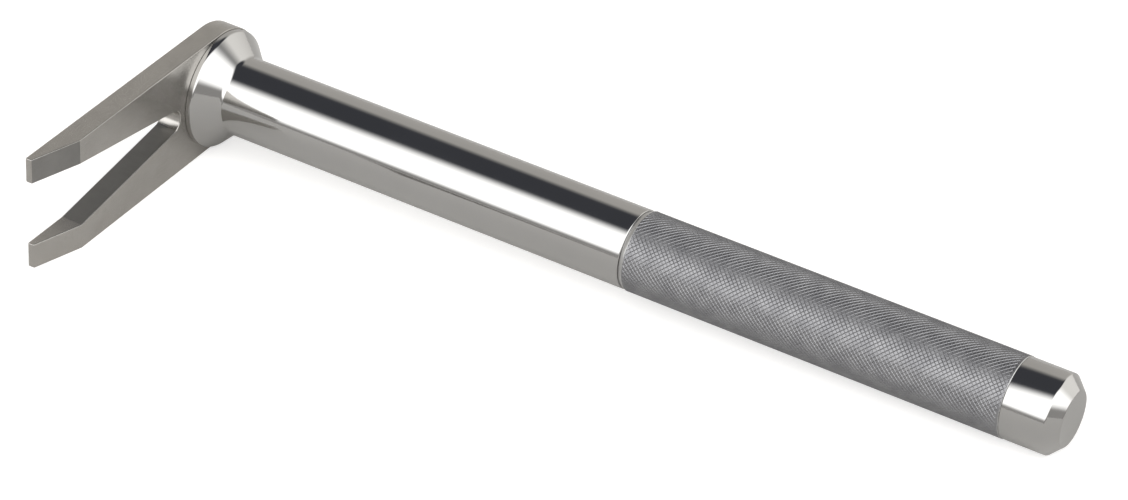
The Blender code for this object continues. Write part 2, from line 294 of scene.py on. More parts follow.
def round_edges(obj, radius):
    """Round an object's sharp edges."""
    modifier = obj.modifiers.new("edge_round", "BEVEL")
    modifier.width = radius
    modifier.segments = 3
    modifier.limit_method = "ANGLE"
    modifier.angle_limit = math.radians(30)
    modifier.harden_normals = True
    bake(obj)


def flatten_faces(obj):
    """Keep an object's large faces flat in shading, with soft roundings between them.

    An edge is sharp past the crease angle, or past the knee angle between two large faces.
    """
    large_area = 5 * MM * MM
    knee_angle = math.radians(5)
    crease_angle = math.radians(40)
    bm = bmesh.new()
    bm.from_mesh(obj.data)
    for edge in bm.edges:
        turn = edge.calc_face_angle(0.0)
        smaller = min(face.calc_area() for face in edge.link_faces)
        knee = turn > knee_angle and smaller > large_area
        edge.smooth = turn < crease_angle and not knee
    bm.to_mesh(obj.data)
    bm.free()
    modifier = obj.modifiers.new("flat_faces", "WEIGHTED_NORMAL")
    modifier.weight = 90
    modifier.keep_sharp = True
    bake(obj)


def finish_piece(obj, slot, *nodes):
    """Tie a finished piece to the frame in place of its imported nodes."""
    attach(obj, BODY)
    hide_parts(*nodes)


# ---- node helpers
def add(tree, kind, inputs=None, **settings):
    """Add a node. An input's value is a number, a colour or another node's socket."""
    node = tree.nodes.new(kind)
    for key, value in settings.items():
        setattr(node, key, value)
    for key, value in (inputs or {}).items():
        if isinstance(value, bpy.types.NodeSocket):
            tree.links.new(value, node.inputs[key])
        else:
            node.inputs[key].default_value = value
    return node


def calc(tree, operation, *values):
    """A Math node's result."""
    return add(tree, "ShaderNodeMath", dict(enumerate(values)), operation=operation).outputs[0]


def ramp(tree, value, low, high, to_low=0.0, to_high=1.0):
    """A smooth step of a value from one range to another."""
    inputs = {"Value": value, "From Min": low, "From Max": high,
              "To Min": to_low, "To Max": to_high}
    node = add(tree, "ShaderNodeMapRange", inputs, interpolation_type="SMOOTHSTEP")
    return node.outputs["Result"]


def mix_colours(tree, factor, first, second):
    """A colour between two others."""
    node = add(tree, "ShaderNodeMix", data_type="RGBA", blend_type="MIX")
    ends = ((node.inputs[0], factor), (node.inputs[6], first), (node.inputs[7], second))
    for socket, value in ends:
        if isinstance(value, bpy.types.NodeSocket):
            tree.links.new(value, socket)
        elif isinstance(value, (int, float)):
            socket.default_value = value
        else:
            socket.default_value = (*value[:3], 1.0)
    return node.outputs[2]


def shader_group(name, inputs, outputs):
    """An empty shader node group: (tree, its input sockets, its output node)."""
    tree = bpy.data.node_groups.new(name, "ShaderNodeTree")
    for socket, kind, default in inputs:
        made = tree.interface.new_socket(socket, in_out="INPUT", socket_type=kind)
        if default is not None:
            made.default_value = default
    for socket in outputs:
        tree.interface.new_socket(socket, in_out="OUTPUT", socket_type="NodeSocketFloat")
    entry = tree.nodes.new("NodeGroupInput")
    leave = tree.nodes.new("NodeGroupOutput")
    return tree, entry.outputs, leave


def send(tree, leave, **values):
    """Link values to a group's outputs."""
    for name, socket in values.items():
        tree.links.new(socket, leave.inputs[name])


def place_group(tree, group, **inputs):
    """Place a shader node group and return its outputs."""
    node = tree.nodes.new("ShaderNodeGroup")
    node.node_tree = group
    for name, value in inputs.items():
        if isinstance(value, bpy.types.NodeSocket):
            tree.links.new(value, node.inputs[name])
        else:
            node.inputs[name].default_value = value
    return node.outputs


# ---- shared surface effects
def grain_group():
    """Fine blasted grain, and a broad mottle from handling."""
    tree, given, leave = shader_group(
        "Steel Grain",
        [("Vector", "NodeSocketVector", None), ("GrainScale", "NodeSocketFloat", 9000.0),
         ("MottleScale", "NodeSocketFloat", 260.0)],
        ["Grain", "Mottle"],
    )
    fine = add(tree, "ShaderNodeTexNoise",
               {"Vector": given["Vector"], "Scale": given["GrainScale"],
                "Detail": 2.0, "Roughness": 0.6})
    broad = add(tree, "ShaderNodeTexNoise",
                {"Vector": given["Vector"], "Scale": given["MottleScale"],
                 "Detail": 3.0, "Roughness": 0.55})
    send(tree, leave, Grain=fine.outputs[0], Mottle=ramp(tree, broad.outputs[0], 0.32, 0.68))
    return tree


def brushing_group():
    """Fine straight scratches: noise drawn out along one direction by the scale given."""
    tree, given, leave = shader_group(
        "Brushing",
        [("Vector", "NodeSocketVector", None), ("Stretch", "NodeSocketVector", (1.0, 1.0, 1.0))],
        ["Lines"],
    )
    drawn = add(tree, "ShaderNodeVectorMath", {0: given["Vector"], 1: given["Stretch"]},
                operation="MULTIPLY").outputs[0]
    lines = add(tree, "ShaderNodeTexNoise", {"Vector": drawn, "Scale": 1.0, "Detail": 3.0})
    send(tree, leave, Lines=lines.outputs[0])
    return tree


def worn_edge_group():
    """Mask of convex edges, broken up by noise."""
    tree, given, leave = shader_group(
        "Worn Edges",
        [("Vector", "NodeSocketVector", None), ("Start", "NodeSocketFloat", 0.52),
         ("End", "NodeSocketFloat", 0.6)],
        ["Mask"],
    )
    pointiness = add(tree, "ShaderNodeNewGeometry").outputs["Pointiness"]
    edge = ramp(tree, pointiness, given["Start"], given["End"])
    breaks = add(tree, "ShaderNodeTexNoise",
                 {"Vector": given["Vector"], "Scale": 900.0, "Detail": 2.0})
    kept = ramp(tree, breaks.outputs[0], 0.3, 0.6, to_low=0.4)
    send(tree, leave, Mask=calc(tree, "MULTIPLY", edge, kept))
    return tree


def radius_group():
    """Mask that rises with the distance from the bar's axis."""
    tree, given, leave = shader_group(
        "Radius Mask",
        [("Vector", "NodeSocketVector", None), ("Inner", "NodeSocketFloat", 0.0),
         ("Outer", "NodeSocketFloat", 1.0)],
        ["Mask"],
    )
    axis = (0.0, LAYOUT.axis_y, LAYOUT.axis_z)
    centred = add(tree, "ShaderNodeVectorMath", {0: given["Vector"], 1: axis},
                  operation="SUBTRACT")
    across = add(tree, "ShaderNodeVectorMath", {0: centred.outputs[0], 1: (0.0, 1.0, 1.0)},
                 operation="MULTIPLY")
    distance = add(tree, "ShaderNodeVectorMath", {0: across.outputs[0]}, operation="LENGTH")
    mask = add(tree, "ShaderNodeMapRange", {"Value": distance.outputs["Value"],
                                            "From Min": given["Inner"], "From Max": given["Outer"]})
    send(tree, leave, Mask=mask.outputs[0])
    return tree


EFFECTS = {}


def effect(name):
    """A node group by name, all of them built the first time one is asked for."""
    if not EFFECTS:
        EFFECTS.update(grain=grain_group(), brushing=brushing_group(), edges=worn_edge_group(),
                       radius=radius_group())
    return EFFECTS[name]


# ---- materials
class Metal:
    """A metallic Principled material being made, on object coordinates."""

    def __init__(self, name, **grain_scales):
        self.material = bpy.data.materials.new(name)
        self.material.use_nodes = True
        self.tree = self.material.node_tree
        self.shader = self.tree.nodes["Principled BSDF"]
        self.shader.inputs["Metallic"].default_value = 1.0
        self.coords = self.tree.nodes.new("ShaderNodeTexCoord").outputs["Object"]
        grain = self.place("grain", **grain_scales)
        self.grain = grain["Grain"]
        self.mottle = grain["Mottle"]

    def place(self, name, **inputs):
        """Place a shared effect on this metal and return its outputs."""
        return place_group(self.tree, effect(name), Vector=self.coords, **inputs)

    def lines(self, *stretch):
        """Fine scratches, close together along the axes with the larger values."""
        return self.place("brushing", Stretch=stretch)["Lines"]

    def mix(self, factor, first, second):
        """A colour between two others."""
        return mix_colours(self.tree, factor, first, second)

    def scale_add(self, value, share, rest):
        """A value times a share, plus the rest."""
        return calc(self.tree, "MULTIPLY_ADD", value, share, rest)

    def finish(self, tone, rough, height, depth):
        """Link colour, roughness and a bump of the depth given, and return the material."""
        bump = add(self.tree, "ShaderNodeBump",
                   {"Height": height, "Distance": depth, "Strength": 1.0})
        for socket, name in ((tone, "Base Color"), (rough, "Roughness"),
                             (bump.outputs["Normal"], "Normal")):
            self.tree.links.new(socket, self.shader.inputs[name])
        return self.material


def satin_steel(finish):
    """Blasted, lightly brushed steel of the fork, brighter where its edges are worn."""
    metal = Metal("satin_steel")
    lines = metal.lines(6000.0, 260.0, 6000.0)
    worn = metal.place("edges")["Mask"]
    base = Vector(finish.satin)
    tone = metal.mix(metal.mottle, base * 0.93, base * 1.07)
    tone = metal.mix(ramp(metal.tree, lines, 0.35, 0.65), tone, base * 1.02)
    tone = metal.mix(worn, tone, base * 1.08)
    rough = metal.scale_add(worn, -0.04, metal.scale_add(metal.grain, 0.1, 0.21))
    return metal.finish(tone, rough, metal.scale_add(lines, 0.5, metal.grain), 0.004 * MM)


def milled_steel(finish):
    """Duller steel with fine lines across it: on the slot's sides before the knee it is partly
    their milled finish and partly painted shade deeper in the slot; on the upper ground bevel it is
    painted shade, the lower bevel staying satin.
    """
    metal = Metal("milled_steel")
    lines = metal.lines(300.0, 9000.0, 9000.0)
    base = Vector(finish.milled_and_painted_shade)
    tone = metal.mix(metal.mottle, base * 0.92, base * 1.08)
    tone = metal.mix(ramp(metal.tree, lines, 0.3, 0.7), tone, base * 1.05)
    return metal.finish(tone, metal.scale_add(metal.grain, 0.12, 0.34), lines, 0.003 * MM)


def polished_steel(finish):
    """Mirror finish with faint rings left by turning and a few hairline rubs along the bar."""
    metal = Metal("polished_steel", MottleScale=90.0)
    rings = metal.lines(5200.0, 12.0, 12.0)
    rubs = metal.lines(40.0, 2600.0, 2600.0)
    base = Vector(finish.polished)
    tone = metal.mix(metal.mottle, base * 0.985, base * 1.015)
    rough = metal.scale_add(metal.mottle, 0.02, 0.075)
    rough = metal.scale_add(ramp(metal.tree, rubs, 0.62, 0.8), 0.05, rough)
    return metal.finish(tone, rough, rings, 0.0004 * MM)


def knurled_steel(finish):
    """Matt knurl: darker in the grooves as painted shade with grime, burnished on the crests."""
    metal = Metal("knurled_steel", GrainScale=7000.0, MottleScale=420.0)
    groove = LAYOUT.crest_radius - bpy.context.scene.pry_tool.grip.depth
    # Painted shade with grime: the mask rises from groove to crest, so the groove colour darkens
    # the bottoms of the grooves.
    crest = metal.place("radius", Inner=groove, Outer=LAYOUT.crest_radius)["Mask"]
    tone = metal.mix(crest, finish.groove, finish.knurled)
    dulled = calc(metal.tree, "MULTIPLY", metal.mottle, 0.35)
    tone = metal.mix(dulled, tone, Vector(finish.knurled) * 0.62)
    rough = metal.scale_add(metal.grain, 0.1, metal.scale_add(crest, -0.26, 0.39))
    return metal.finish(tone, rough, metal.grain, 0.008 * MM)


def turned_steel(finish):
    """Bright turned steel with fine rings, for the sleeve's taper and ends."""
    metal = Metal("turned_steel")
    rings = metal.lines(12000.0, 80.0, 80.0)
    base = Vector(finish.turned)
    tone = metal.mix(metal.mottle, base * 0.94, base * 1.05)
    return metal.finish(tone, metal.scale_add(rings, 0.16, 0.22), rings, 0.002 * MM)


def black_oxide(finish):
    """Thin black coat that lets a little steel through on the rim of the head."""
    metal = Metal("black_oxide")
    rim = LAYOUT.screw_head_radius
    worn = metal.place("radius", Inner=0.95 * rim, Outer=rim)["Mask"]
    base = Vector(finish.black)
    tone = metal.mix(metal.mottle, base * 0.85, base * 1.2)
    bare = Vector(finish.ground) * 0.6
    tone = metal.mix(calc(metal.tree, "MULTIPLY", worn, 0.5), tone, bare)
    return metal.finish(tone, metal.scale_add(metal.grain, 0.12, 0.34), metal.grain, 0.003 * MM)


def ground_steel(finish):
    """Bright centreless-ground steel with fine rings around the bar's direction."""
    metal = Metal("ground_steel")
    rings = metal.lines(9000.0, 60.0, 60.0)
    base = Vector(finish.ground)
    tone = metal.mix(metal.mottle, base * 0.92, base * 1.05)
    return metal.finish(tone, metal.scale_add(rings, 0.14, 0.2), rings, 0.0015 * MM)


MATERIALS = {}


def material_named(name):
    """A metal by name, built the first time it is asked for."""
    if name not in MATERIALS:
        makers = (satin_steel, milled_steel, polished_steel, knurled_steel, turned_steel,
                  black_oxide, ground_steel)
        maker = {made.__name__: made for made in makers}[name]
        MATERIALS[name] = maker(bpy.context.scene.pry_tool.finish)
    return MATERIALS[name]


# ---- Geometry Nodes
def geometry_tree(name, inputs):
    """A Geometry Nodes tree with a geometry input and output: (tree, its inputs, its output)."""
    tree = bpy.data.node_groups.new(name, "GeometryNodeTree")
    tree.is_modifier = True
    tree.interface.new_socket("Geometry", in_out="INPUT", socket_type="NodeSocketGeometry")
    for socket, kind in inputs:
        tree.interface.new_socket(socket, in_out="INPUT", socket_type="NodeSocket" + kind)
    tree.interface.new_socket("Geometry", in_out="OUTPUT", socket_type="NodeSocketGeometry")
    entry = tree.nodes.new("NodeGroupInput")
    leave = tree.nodes.new("NodeGroupOutput")
    return tree, entry.outputs, leave.inputs["Geometry"]


def run_tree(obj, tree, **values):
    """Run a tree on an object with its inputs set by socket identifier, and keep the result."""
    modifier = obj.modifiers.new(tree.name, "NODES")
    modifier.node_group = tree
    for item in tree.interface.items_tree:
        key = item.name.replace(" ", "_").lower()
        if item.item_type == "SOCKET" and item.in_out == "INPUT" and key in values:
            modifier[item.identifier] = values[key]
    obj.data.update()
    bake(obj)
    bm = bmesh.new()
    bm.from_mesh(obj.data)
    bmesh.ops.recalc_face_normals(bm, faces=bm.faces)
    bm.to_mesh(obj.data)
    bm.free()


def position(tree):
    """The three parts of the position at hand."""
    here = tree.nodes.new("GeometryNodeInputPosition").outputs[0]
    return add(tree, "ShaderNodeSeparateXYZ", {0: here}).outputs


def grid_around_axis(tree, columns, rows):
    """A flat grid to wrap: (mesh socket, share along, share around)."""
    vertices_along = calc(tree, "ADD", rows, 1.0)
    vertices_around = calc(tree, "ADD", columns, 1.0)
    grid = add(tree, "GeometryNodeMeshGrid", {"Size X": 1.0, "Size Y": 1.0,
                                              "Vertices X": vertices_along,
                                              "Vertices Y": vertices_around})
    place = position(tree)
    along = calc(tree, "ADD", place[0], 0.5)
    around = calc(tree, "ADD", place[1], 0.5)
    return grid.outputs["Mesh"], along, around


def wrap(tree, given, mesh, x, around, radius):
    """Wrap a grid round the bar's axis at a radius, and close its seam."""
    turn = calc(tree, "MULTIPLY", around, 2 * math.pi)
    y = calc(tree, "MULTIPLY_ADD", radius, calc(tree, "COSINE", turn), given["Axis Y"])
    z = calc(tree, "MULTIPLY_ADD", radius, calc(tree, "SINE", turn), given["Axis Z"])
    place = add(tree, "ShaderNodeCombineXYZ", {0: x, 1: y, 2: z}).outputs[0]
    moved = add(tree, "GeometryNodeSetPosition", {"Geometry": mesh, "Position": place})
    return moved.outputs[0]


def close_tree(tree, given, leave, geometry, selection=True):
    """Merge seams, then end in Realize Instances and Set Material."""
    merged = add(tree, "GeometryNodeMergeByDistance",
                 {"Geometry": geometry, "Distance": MERGE_DISTANCE}).outputs[0]
    realized = add(tree, "GeometryNodeRealizeInstances", {0: merged}).outputs[0]
    painted = add(tree, "GeometryNodeSetMaterial",
                  {"Geometry": realized, "Selection": selection, "Material": given["Material"]})
    tree.links.new(painted.outputs[0], leave)


def knurl_tree():
    """Diamond knurl: flat-topped diamonds raised between two crossing sets of helical grooves.

    A flat grid runs along the two helices. Its cells are turned a quarter, so a cell at (u, v)
    lies u + v half diamonds along the grip and u - v half diamonds around it.
    """
    tree, given, leave = geometry_tree(
        "Diamond Knurl",
        [("Start", "Float"), ("End", "Float"),
         ("Diamonds Around", "Int"), ("Diamonds Along", "Int"),
         ("Groove Radius", "Float"), ("Crest Radius", "Float"), ("Crest Width", "Float"),
         ("Axis Y", "Float"), ("Axis Z", "Float"), ("Material", "Material")],
    )
    rows = calc(tree, "MULTIPLY", given["Diamonds Along"], 2.0)
    columns = given["Diamonds Around"]
    length_u = calc(tree, "ADD", rows, columns)
    grid = add(tree, "GeometryNodeMeshGrid", {
        "Size X": length_u, "Size Y": columns,
        "Vertices X": calc(tree, "ADD", length_u, 1.0),
        "Vertices Y": calc(tree, "ADD", columns, 1.0),
    })
    flat = position(tree)
    from_start = calc(tree, "MULTIPLY_ADD", length_u, 0.5, flat[0])
    u = calc(tree, "ROUND", calc(tree, "SUBTRACT", from_start, columns))
    v = calc(tree, "ROUND", calc(tree, "MULTIPLY_ADD", columns, 0.5, flat[1]))
    turned_cells = add(tree, "ShaderNodeCombineXYZ", {0: calc(tree, "ADD", u, v),
                                                      1: calc(tree, "SUBTRACT", u, v), 2: 0.0})
    mesh = add(tree, "GeometryNodeSetPosition",
               {"Geometry": grid.outputs["Mesh"], "Position": turned_cells.outputs[0]}).outputs[0]

    middle = position(tree)[0]
    outside = calc(tree, "MAXIMUM", calc(tree, "LESS_THAN", middle, -0.5),
                   calc(tree, "GREATER_THAN", middle, calc(tree, "ADD", rows, 0.5)))
    kept = add(tree, "GeometryNodeDeleteGeometry", {"Geometry": mesh, "Selection": outside},
               domain="FACE").outputs[0]
    middle = position(tree)[0]
    whole = calc(tree, "MULTIPLY", calc(tree, "GREATER_THAN", middle, 0.5),
                 calc(tree, "LESS_THAN", middle, calc(tree, "SUBTRACT", rows, 0.5)))
    raised = add(tree, "GeometryNodeExtrudeMesh",
                 {"Mesh": kept, "Selection": whole, "Offset": (0.0, 0.0, 1.0), "Offset Scale": 1.0,
                  "Individual": True}, mode="FACES")
    tops = add(tree, "GeometryNodeScaleElements",
               {"Geometry": raised.outputs["Mesh"], "Selection": raised.outputs["Top"],
                "Scale": given["Crest Width"]}, domain="FACE").outputs[0]

    place = position(tree)
    along = add(tree, "ShaderNodeClamp", {"Value": calc(tree, "DIVIDE", place[0], rows)}).outputs[0]
    around = calc(tree, "DIVIDE", place[1], calc(tree, "MULTIPLY", columns, 2.0))
    height = calc(tree, "SUBTRACT", given["Crest Radius"], given["Groove Radius"])
    radius = calc(tree, "MULTIPLY_ADD", place[2], height, given["Groove Radius"])
    span = calc(tree, "SUBTRACT", given["End"], given["Start"])
    x = calc(tree, "MULTIPLY_ADD", along, span, given["Start"])
    band = wrap(tree, given, tops, x, around, radius)
    sharp = add(tree, "GeometryNodeSetShadeSmooth", {0: band, "Shade Smooth": False}).outputs[0]
    marked = add(tree, "GeometryNodeStoreNamedAttribute",
                 {"Geometry": sharp, "Name": "knurled", "Value": True},
                 data_type="BOOLEAN", domain="FACE").outputs[0]
    joined = tree.nodes.new("GeometryNodeJoinGeometry")
    tree.links.new(given["Geometry"], joined.inputs[0])
    tree.links.new(marked, joined.inputs[0])
    only = add(tree, "GeometryNodeInputNamedAttribute", {"Name": "knurled"}, data_type="BOOLEAN")
    close_tree(tree, given, leave, joined.outputs[0], only.outputs["Attribute"])
    return tree


def thread_tree():
    """Threaded rod: a grid whose radius follows a helix, closed to the axis at both ends."""
    tree, given, leave = geometry_tree(
        "Threaded Rod",
        [("Start", "Float"), ("End", "Float"), ("Pitch", "Float"), ("Root Radius", "Float"),
         ("Crest Radius", "Float"), ("Facets", "Int"), ("Rows", "Int"), ("Axis Y", "Float"),
         ("Axis Z", "Float"), ("Material", "Material")],
    )
    mesh, along, around = grid_around_axis(tree, given["Facets"], given["Rows"])
    span = calc(tree, "SUBTRACT", given["End"], given["Start"])
    reach = calc(tree, "MULTIPLY", along, span)
    turns = calc(tree, "SUBTRACT", calc(tree, "DIVIDE", reach, given["Pitch"]), around)
    flank = calc(tree, "MULTIPLY", calc(tree, "PINGPONG", turns, 0.5), 2.0)
    to_end = calc(tree, "MINIMUM", reach, calc(tree, "SUBTRACT", span, reach))
    fade = calc(tree, "MINIMUM", calc(tree, "DIVIDE", to_end, given["Pitch"]), 1.0)
    height = calc(tree, "SUBTRACT", given["Crest Radius"], given["Root Radius"])
    radius = calc(tree, "MULTIPLY_ADD", calc(tree, "MULTIPLY", flank, fade), height,
                  given["Root Radius"])
    solid = calc(tree, "GREATER_THAN", to_end, MERGE_DISTANCE)
    x = calc(tree, "ADD", reach, given["Start"])
    rod = wrap(tree, given, mesh, x, around, calc(tree, "MULTIPLY", radius, solid))
    close_tree(tree, given, leave, rod)
    return tree


# ---- fork
def fork_outline(fork):
    """The plate's outline as (reach, across) points: hub, upper prong, slot, lower prong."""
    knee = LAYOUT.reach - fork.bevel_length
    half_opening = fork.tip_opening / 2
    root_reach = LAYOUT.collar_radius + fork.root_margin + fork.root_radius
    run = knee - root_reach
    side_length = math.hypot(run, half_opening)
    taper = math.atan2(half_opening, run) - math.asin(fork.root_radius / side_length)
    hub_steps, root_steps = 96, 40
    hub = arc(0, LAYOUT.hub_radius, 3 * math.pi / 2, math.pi / 2, hub_steps)
    upper = [(knee, LAYOUT.hub_radius), (LAYOUT.reach, LAYOUT.hub_radius),
             (LAYOUT.reach, half_opening), (knee, half_opening)]
    root = arc(root_reach, fork.root_radius, math.pi / 2 + taper, 3 * math.pi / 2 - taper,
               root_steps)
    lower = [(reach, -across) for reach, across in reversed(upper)]
    return hub + upper + root + lower


def hole_mouth(radius, lip):
    """The start of a hole's profile, from outside the back of the plate to below the lip."""
    outside = LAYOUT.back - CUT_MARGIN
    return [(outside, 0), (outside, radius + lip), (LAYOUT.back, radius + lip),
            (LAYOUT.back + lip, radius)]


def build_fork(settings):
    """The forked plate, with rounded edges, a countersink and two pin holes."""
    fork = settings.fork
    thickness = LAYOUT.plate_front - LAYOUT.back
    knee = LAYOUT.reach - fork.bevel_length
    bm = bmesh.new()
    points = [(LAYOUT.back, LAYOUT.axis_y - reach, LAYOUT.axis_z + across)
              for reach, across in fork_outline(fork)]
    back = bm.faces.new([bm.verts.new(point) for point in points])
    extruded = bmesh.ops.extrude_face_region(bm, geom=[back])
    front = [item for item in extruded["geom"] if isinstance(item, bmesh.types.BMVert)]
    bmesh.ops.translate(bm, vec=(thickness, 0, 0), verts=front)
    bmesh.ops.bisect_plane(bm, geom=bm.verts[:] + bm.edges[:] + bm.faces[:],
                           plane_co=(0, LAYOUT.axis_y - knee, 0), plane_no=(0, 1, 0),
                           dist=MERGE_DISTANCE)
    for vert in bm.verts:
        past_knee = LAYOUT.axis_y - vert.co.y - knee
        if vert.co.x > LAYOUT.back + thickness / 2 and past_knee > 0:
            vert.co.x -= (thickness - fork.tip_thickness) * past_knee / fork.bevel_length
    bmesh.ops.recalc_face_normals(bm, faces=bm.faces)
    # Painted shade: the milled metal (index 1) goes on the slot's sides before the knee, partly for
    # their milled finish and partly as shade deeper in the slot, and on the upper bevel alone as
    # shade, though both bevels are ground alike.
    for face in bm.faces:
        middle = face.calc_center_median()
        above = middle.z - LAYOUT.axis_z
        past_knee = LAYOUT.axis_y - middle.y > knee
        slot_side = abs(face.normal.z) > 0.9 and face.normal.z * above < 0 and not past_knee
        upper_bevel = face.normal.x > 0.5 and above > 0 and past_knee
        face.material_index = int(slot_side or upper_bevel)
    obj = make_object("fork_blade", bm, material_named("satin_steel"))
    obj.data.materials.append(material_named("milled_steel"))
    round_edges(obj, fork.edge_round)

    screw = settings.fasteners
    through = LAYOUT.plate_front + CUT_MARGIN
    head_edge = LAYOUT.screw_back + screw.head_rim
    head = LAYOUT.screw_head_radius + SEAM
    neck = screw.screw_radius + SEAM
    countersink = hole_mouth(head, fork.hole_round) + [
        (head_edge, head), (head_edge + head - neck, neck), (through, neck), (through, 0),
    ]
    combine(obj, make_object("cut_countersink", turned(countersink, SCREW_STEPS)))
    hole = LAYOUT.pin_radius + SEAM
    profile = hole_mouth(hole, fork.hole_round) + [(through, hole), (through, 0)]
    for side in (1, -1):
        bm = turned(profile, PIN_STEPS)
        bmesh.ops.translate(bm, vec=(0, 0, side * LAYOUT.pin_circle), verts=bm.verts)
        combine(obj, make_object("cut_pin_hole", bm))
    flatten_faces(obj)
    finish_piece(obj, "satin_fork", "fork_plate")


# ---- bar, cap and grip
def build_bar(settings):
    """The polished bar: collar, cone, shank and the core that carries the grip."""
    bar = settings.bar
    face = LAYOUT.plate_front + SEAM
    shoulder = LAYOUT.grip_start - SEAM
    core_radius = LAYOUT.bar_radius - bar.core_drop
    cone_start = LAYOUT.bar_face + bar.collar_land
    cone_drop = LAYOUT.collar_radius - LAYOUT.bar_radius
    cone_foot = cone_start + cone_drop / math.tan(bar.collar_angle)
    corners = [
        (face, 0, 0), (face, LAYOUT.collar_radius, bar.edge_round / 3),
        (cone_start, LAYOUT.collar_radius, bar.collar_round),
        (cone_foot, LAYOUT.bar_radius, bar.collar_fillet),
        (shoulder, LAYOUT.bar_radius, bar.edge_round), (shoulder, core_radius, 0),
        (LAYOUT.core_end, core_radius, bar.edge_round), (LAYOUT.core_end, 0, 0),
    ]
    obj = make_object("polished_shank", turned(rounded(corners), bar.steps),
                      material_named("polished_steel"))
    finish_piece(obj, "polished_bar", "polished_bar")


def build_cap(settings):
    """The butt cap: a short polished band, a chamfered rim and a flat face."""
    bar = settings.bar
    face = LAYOUT.grip_end + SEAM
    corners = [
        (face, 0, 0), (face, LAYOUT.bar_radius, bar.edge_round / 3),
        (LAYOUT.butt - bar.butt_chamfer, LAYOUT.bar_radius, 2 * bar.edge_round),
        (LAYOUT.butt, LAYOUT.bar_radius - bar.butt_chamfer, 2 * bar.edge_round),
        (LAYOUT.butt, 0, 0),
    ]
    obj = make_object("polished_cap", turned(rounded(corners), bar.steps),
                      material_named("polished_steel"))
    finish_piece(obj, "polished_bar", "butt_cap")


def build_grip(settings):
    """The knurled sleeve: a turned liner, open where the knurl goes, and the knurl itself."""
    grip = settings.grip
    crest = LAYOUT.crest_radius
    groove = crest - grip.depth
    bore = crest - grip.wall
    around = round(2 * math.pi * crest / grip.pitch)
    rim = settings.bar.edge_round / 2
    knurl_start = LAYOUT.grip_start + grip.lead_length
    knurl_end = LAYOUT.grip_end - rim
    along = round((knurl_end - knurl_start) / grip.pitch)
    lead_step = 0.03 * MM
    soft_edge = 0.08 * MM
    corners = [
        (knurl_start, groove, 0), (knurl_start, crest - lead_step, soft_edge / 2),
        (LAYOUT.grip_start, crest - grip.lead_drop, soft_edge), (LAYOUT.grip_start, bore, 0),
        (LAYOUT.grip_end, bore, 0), (LAYOUT.grip_end, groove - rim, 0), (knurl_end, groove, 0),
    ]
    liner = turned(rounded(corners, FINE_ROUND_STEPS), 2 * around)
    obj = make_object("knurled_grip", liner, material_named("turned_steel"))
    run_tree(obj, knurl_tree(), start=knurl_start, end=knurl_end, diamonds_around=around,
             diamonds_along=along, groove_radius=groove, crest_radius=crest,
             crest_width=grip.crest_width, axis_y=LAYOUT.axis_y, axis_z=LAYOUT.axis_z,
             material=material_named("knurled_steel"))
    finish_piece(obj, "knurled_grip", "knurled_sleeve")


# ---- fasteners
def threaded_rod(name, start, end, crest_radius, pitch, depth, material):
    """A threaded rod made by the thread tree."""
    obj = make_object(name, bmesh.new())
    run_tree(obj, thread_tree(), start=start, end=end, pitch=pitch,
             root_radius=crest_radius - depth, crest_radius=crest_radius, facets=THREAD_STEPS,
             rows=round((end - start) / pitch * THREAD_ROWS), axis_y=LAYOUT.axis_y,
             axis_z=LAYOUT.axis_z, material=material)
    return obj


